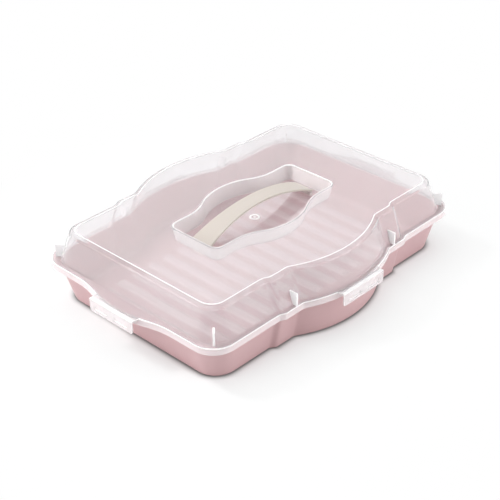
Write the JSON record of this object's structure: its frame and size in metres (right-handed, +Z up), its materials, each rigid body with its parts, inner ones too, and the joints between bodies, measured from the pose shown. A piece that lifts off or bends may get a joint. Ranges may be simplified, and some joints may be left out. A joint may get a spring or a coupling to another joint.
{
  "type": "cake carrier",
  "caption": "Rectangular food carrier: ribbed tray with swelling long sides, clear domed lid with flip-up edge latches, and an arched strap handle snapped into a well in the lid.",
  "frame": {"origin": "middle of the tray's foot, on the surface it stands on", "axes": "+X along the long side, +Y along the short side, +Z up through the lid"},
  "size_m": [0.449, 0.33, 0.0945],
  "materials": {
    "tray_plastic": "satin-gloss opaque moulded polypropylene, dusty pink",
    "lid_plastic": "clear, slightly milky moulded plastic, polished",
    "latch_plastic": "the lid's clear plastic, frosted by its raised grips",
    "strap_plastic": "cream satin moulded polypropylene"
  },
  "bodies": {
    "tray": {"base_tray": "tray_plastic"},
    "lid": {"lid_shell": "lid_plastic", "handle_strap": "strap_plastic"},
    "front_latch": {"latch_front": "latch_plastic"},
    "back_latch": {"latch_back": "latch_plastic"},
    "left_latch": {"latch_left": "latch_plastic"},
    "right_latch": {"latch_right": "latch_plastic"}
  },
  "joints": [
    {"name": "lid_lift", "type": "slide", "parent": "tray", "child": "lid", "axis": [0, 0, 1], "range_m": [0, 0.12]},
    {"name": "front_latch_flip", "type": "hinge", "parent": "lid", "child": "front_latch", "pos_m": [0, -0.16065, 0.0521], "axis": [-1, 0, 0], "range_deg": [0, 120]},
    {"name": "back_latch_flip", "type": "hinge", "parent": "lid", "child": "back_latch", "pos_m": [0, 0.16065, 0.0521], "axis": [1, 0, 0], "range_deg": [0, 120]},
    {"name": "left_latch_flip", "type": "hinge", "parent": "lid", "child": "left_latch", "pos_m": [-0.22005, 0, 0.0521], "axis": [0, 1, 0], "range_deg": [0, 120]},
    {"name": "right_latch_flip", "type": "hinge", "parent": "lid", "child": "right_latch", "pos_m": [0.22005, 0, 0.0521], "axis": [0, -1, 0], "range_deg": [0, 120]}
  ]
}
